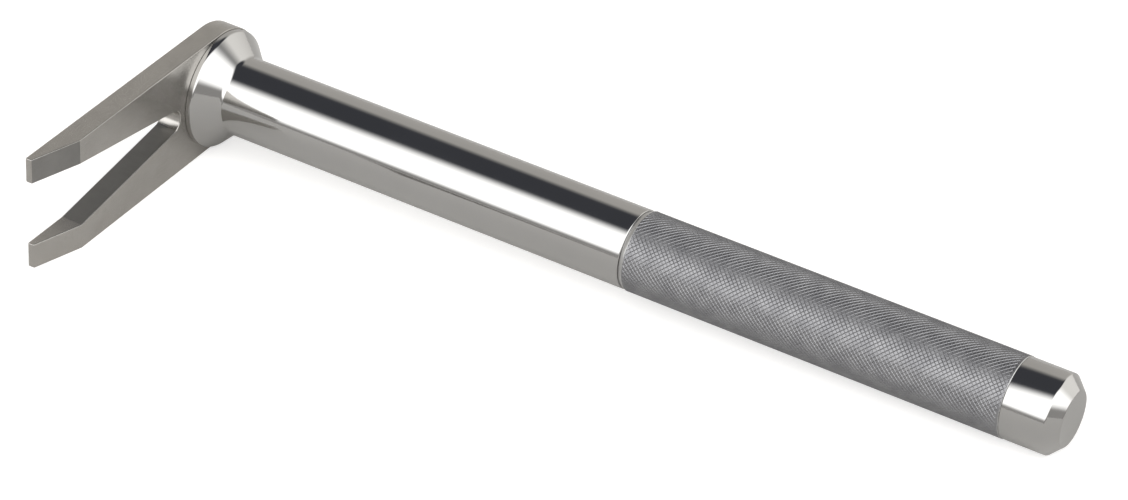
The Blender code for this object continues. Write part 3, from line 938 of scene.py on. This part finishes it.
def build_fasteners(settings):
    """Screw, stud and pins, with the key left as packed in its own finish."""
    sizes = settings.fasteners
    black = material_named("black_oxide")
    ground = material_named("ground_steel")
    edge = 0.08 * MM

    back = LAYOUT.screw_back
    neck = back + sizes.head_rim + LAYOUT.screw_head_radius - sizes.screw_radius
    core = sizes.screw_radius - sizes.thread_depth
    foot = neck + 0.5 * MM
    thread_start = neck - 0.4 * MM
    corners = [
        (back, 0, 0), (back, LAYOUT.screw_head_radius, edge),
        (back + sizes.head_rim, LAYOUT.screw_head_radius, edge),
        (neck, sizes.screw_radius, 0), (foot, core / 2, 0), (foot, 0, 0),
    ]
    head = turned(rounded(corners, FINE_ROUND_STEPS), SCREW_STEPS)
    screw = make_object("countersunk_screw", head, black)
    shank = threaded_rod("screw_thread", thread_start, LAYOUT.screw_end,
                         sizes.screw_radius - SEAM, sizes.screw_pitch, sizes.thread_depth, black)
    combine(screw, shank, "UNION")
    sides = 6
    corner = sizes.socket_flats / 2 / math.cos(math.pi / sides)
    bottom = back + sizes.socket_depth
    socket = [(back - CUT_MARGIN, 0), (back - CUT_MARGIN, corner), (bottom, corner),
              (bottom + corner / 3, 0)]
    combine(screw, make_object("cut_socket", turned(socket, sides)))
    screw.data.shade_smooth()
    screw.data.set_sharp_from_angle(angle=SMOOTH_ANGLE)
    finish_piece(screw, "black_screw", "fork_screw")

    stud = threaded_rod("threaded_stud", LAYOUT.stud_start, LAYOUT.stud_end, LAYOUT.stud_radius,
                        sizes.stud_pitch, sizes.thread_depth, ground)
    finish_piece(stud, "ground_steel", "butt_stud")

    chamfer = sizes.pin_chamfer
    radius = LAYOUT.pin_radius
    corners = [
        (LAYOUT.pin_back, 0, 0), (LAYOUT.pin_back, radius - chamfer, chamfer / 2),
        (LAYOUT.pin_back + chamfer, radius, chamfer / 2),
        (LAYOUT.pin_end - chamfer, radius, chamfer / 2),
        (LAYOUT.pin_end, radius - chamfer, chamfer / 2), (LAYOUT.pin_end, 0, 0),
    ]
    for side, node in ((1, "dowel_pin_upper"), (-1, "dowel_pin_lower")):
        bm = turned(rounded(corners, FINE_ROUND_STEPS), PIN_STEPS)
        bmesh.ops.translate(bm, vec=(0, 0, side * LAYOUT.pin_circle), verts=bm.verts)
        pin = make_object(node.replace("dowel_pin", "ground_pin"), bm, ground)
        finish_piece(pin, "ground_steel", node)

    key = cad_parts["sleeve_key"]
    key.data.materials.clear()
    key.data.materials.append(ground)


# ---- stage
def build_camera(stage):
    """The camera, aimed at a point beside the bar with a slight roll."""
    azimuth, elevation = stage.azimuth, stage.elevation
    level = math.cos(elevation)
    back = Vector((math.sin(azimuth) * level, -math.cos(azimuth) * level, math.sin(elevation)))
    middle = (LAYOUT.back + LAYOUT.butt) / 2
    aim = Vector((middle - stage.aim_along, LAYOUT.axis_y - stage.aim_across, LAYOUT.axis_z))
    data = bpy.data.cameras.new("camera")
    data.lens = stage.lens
    data.sensor_width = 36.0
    data.clip_start = 0.01
    camera = bpy.data.objects.new("camera", data)
    bpy.context.scene.collection.objects.link(camera)
    camera.rotation_mode = "QUATERNION"
    rolled = Quaternion((0, 0, 1), stage.roll)
    camera.rotation_quaternion = (-back).to_track_quat("-Z", "Y") @ rolled
    camera.location = aim + back * stage.distance
    bpy.context.scene.camera = camera


def floor_material(stage):
    """Pale matt paper, lifted towards white where the camera looks straight at it."""
    material = bpy.data.materials.new("pale_paper")
    material.use_nodes = True
    tree = material.node_tree
    shader = tree.nodes["Principled BSDF"]
    shader.inputs["Base Color"].default_value = (*stage.floor_colour, 1.0)
    shader.inputs["Roughness"].default_value = 0.9
    shader.inputs["Specular IOR Level"].default_value = 0.1
    seen = tree.nodes.new("ShaderNodeLightPath").outputs["Is Camera Ray"]
    shader.inputs["Emission Color"].default_value = (1.0, 1.0, 1.0, 1.0)
    tree.links.new(calc(tree, "MULTIPLY", seen, 0.6), shader.inputs["Emission Strength"])
    return material


def plane(name, corners, material):
    """A flat stage piece from its four corners."""
    mesh = bpy.data.meshes.new(name)
    mesh.from_pydata(corners, [], [(0, 1, 2, 3)])
    mesh.materials.append(material)
    obj = bpy.data.objects.new(name, mesh)
    bpy.context.scene.collection.objects.link(obj)
    return obj


def build_floor(stage):
    """A floor that the tool rests on at the fork's lower edge and the rim of the butt."""
    rise_start = LAYOUT.plate_front
    rise_end = LAYOUT.butt - bpy.context.scene.pry_tool.bar.butt_chamfer
    slope = (LAYOUT.axis_z - LAYOUT.bar_radius) / (rise_end - rise_start)
    half = stage.floor_size / 2
    corners = [(x, y, (x - rise_start) * slope)
               for x, y in ((-half, -half), (half, -half), (half, half), (-half, half))]
    plane("floor", corners, floor_material(stage))


REFLECTION_SHEET_CORNERS = ((-234, -450), (-58, -450), (100, -91), (-45, -19))  # in mm, on the floor
REFLECTION_SHEET_HEIGHT = 0.2 * MM
# Painted reflection: the grey that the sheet shows, only in reflections on the bar and cap.
PAINTED_REFLECTION_GREY = (0.26, 0.25, 0.24)


def build_painted_reflection_sheet():
    """A dark grey sheet on the floor before the bar, seen only by glossy rays: a painted reflection
    that lays a band of shade into the polished bar.
    """
    material = bpy.data.materials.new("flag")
    material.use_nodes = True
    shader = material.node_tree.nodes["Principled BSDF"]
    shader.inputs["Base Color"].default_value = (0.0, 0.0, 0.0, 1.0)
    shader.inputs["Specular IOR Level"].default_value = 0.0
    shader.inputs["Emission Color"].default_value = (*PAINTED_REFLECTION_GREY, 1.0)
    shader.inputs["Emission Strength"].default_value = 1.0
    flag = plane("flag", [(x * MM, y * MM, REFLECTION_SHEET_HEIGHT) for x, y in REFLECTION_SHEET_CORNERS], material)
    flag.visible_camera = False
    flag.visible_diffuse = False
    flag.visible_shadow = False


LEFT_WALL = (0.62, 0.60, 0.57)
RIGHT_WALL = (1.32, 1.30, 1.26)
CEILING = (0.07, 0.073, 0.085)
SOFT_LIGHT = (2.3, 2.3, 2.3)
LIGHT_SIDE = (0.541, -0.838, -0.068)  # the way from the bar to the side that the light fills
GAP_UNDER_LIGHT = (0.45, 0.44, 0.43)


def build_world():
    """A studio: a soft light before the tool and to its right, pale walls, a dark ceiling.

    Each ramp below is the edge of one of these, in parts of the direction looked in.
    """
    world = bpy.data.worlds.new("studio")
    bpy.context.scene.world = world
    world.use_nodes = True
    tree = world.node_tree
    direction = tree.nodes.new("ShaderNodeTexCoord").outputs["Generated"]
    x, y, z = add(tree, "ShaderNodeSeparateXYZ", {0: direction}).outputs
    tone = mix_colours(tree, ramp(tree, x, -0.35, 0.55), LEFT_WALL, RIGHT_WALL)
    height = calc(tree, "MULTIPLY_ADD", calc(tree, "MAXIMUM", x, 0.0), 0.14, z)
    tone = mix_colours(tree, ramp(tree, height, 0.58, 0.80), tone, CEILING)
    side = add(tree, "ShaderNodeVectorMath", {0: direction, 1: LIGHT_SIDE},
               operation="DOT_PRODUCT")
    lit = ramp(tree, side.outputs["Value"], -0.09, 0.26)
    tone = mix_colours(tree, lit, tone, SOFT_LIGHT)
    above = calc(tree, "SUBTRACT", z, calc(tree, "MULTIPLY", x, 0.13))
    gap = calc(tree, "MULTIPLY", lit, ramp(tree, above, 0.27, 0.10))
    tone = mix_colours(tree, gap, tone, GAP_UNDER_LIGHT)
    tree.links.new(tone, tree.nodes["Background"].inputs["Color"])


def build_stage(settings):
    """Camera, floor and light."""
    build_camera(settings.stage)
    build_floor(settings.stage)
    build_painted_reflection_sheet()
    build_world()
    bpy.context.scene.view_settings.view_transform = "Standard"


# ---- operators
class PRYTOOL_OT_fork(bpy.types.Operator):
    """Build the forked plate"""

    bl_idname = "prytool.fork"
    bl_label = "Fork"

    def execute(self, context):
        build_fork(context.scene.pry_tool)
        return {"FINISHED"}


class PRYTOOL_OT_bar(bpy.types.Operator):
    """Build the polished bar"""

    bl_idname = "prytool.bar"
    bl_label = "Polished Bar"

    def execute(self, context):
        build_bar(context.scene.pry_tool)
        return {"FINISHED"}


class PRYTOOL_OT_grip(bpy.types.Operator):
    """Build the knurled grip"""

    bl_idname = "prytool.grip"
    bl_label = "Knurled Grip"

    def execute(self, context):
        build_grip(context.scene.pry_tool)
        return {"FINISHED"}


class PRYTOOL_OT_cap(bpy.types.Operator):
    """Build the butt cap"""

    bl_idname = "prytool.cap"
    bl_label = "Butt Cap"

    def execute(self, context):
        build_cap(context.scene.pry_tool)
        return {"FINISHED"}


class PRYTOOL_OT_fasteners(bpy.types.Operator):
    """Build the screw, the stud, the pins and the key"""

    bl_idname = "prytool.fasteners"
    bl_label = "Fasteners"

    def execute(self, context):
        build_fasteners(context.scene.pry_tool)
        return {"FINISHED"}


class PRYTOOL_OT_stage(bpy.types.Operator):
    """Set up the floor, the light and the camera"""

    bl_idname = "prytool.stage"
    bl_label = "Stage"

    def execute(self, context):
        build_stage(context.scene.pry_tool)
        return {"FINISHED"}


class PRYTOOL_PT_panel(bpy.types.Panel):
    """Sidebar panel that lists the settings and the build steps"""

    bl_idname = "PRYTOOL_PT_panel"
    bl_label = "Forked Pry Tool"
    bl_space_type = "VIEW_3D"
    bl_region_type = "UI"
    bl_category = "Pry Tool"

    def draw(self, context):
        settings = context.scene.pry_tool
        for operator in OPERATORS:
            self.layout.operator(operator.bl_idname)
        for name in ("fork", "bar", "grip", "fasteners", "finish", "stage"):
            box = self.layout.box()
            box.label(text=name.capitalize())
            group = getattr(settings, name)
            for key in group.__annotations__:
                box.prop(group, key)


SETTINGS = (ForkSettings, BarSettings, GripSettings, FastenerSettings, FinishSettings,
            StageSettings, PryToolSettings)
OPERATORS = (PRYTOOL_OT_fork, PRYTOOL_OT_bar, PRYTOOL_OT_grip, PRYTOOL_OT_cap,
             PRYTOOL_OT_fasteners, PRYTOOL_OT_stage)
CLASSES = (*SETTINGS, *OPERATORS, PRYTOOL_PT_panel)


def register():
    """Register the classes and the scene's settings."""
    for item in CLASSES:
        bpy.utils.register_class(item)
    bpy.types.Scene.pry_tool = PointerProperty(type=PryToolSettings)


def unregister():
    """Remove the scene's settings and the classes."""
    del bpy.types.Scene.pry_tool
    for item in reversed(CLASSES):
        bpy.utils.unregister_class(item)


def main():
    register()
    bpy.ops.prytool.fork()
    bpy.ops.prytool.bar()
    bpy.ops.prytool.grip()
    bpy.ops.prytool.cap()
    bpy.ops.prytool.fasteners()
    bpy.ops.prytool.stage()


if __name__ == "__main__":
    main()
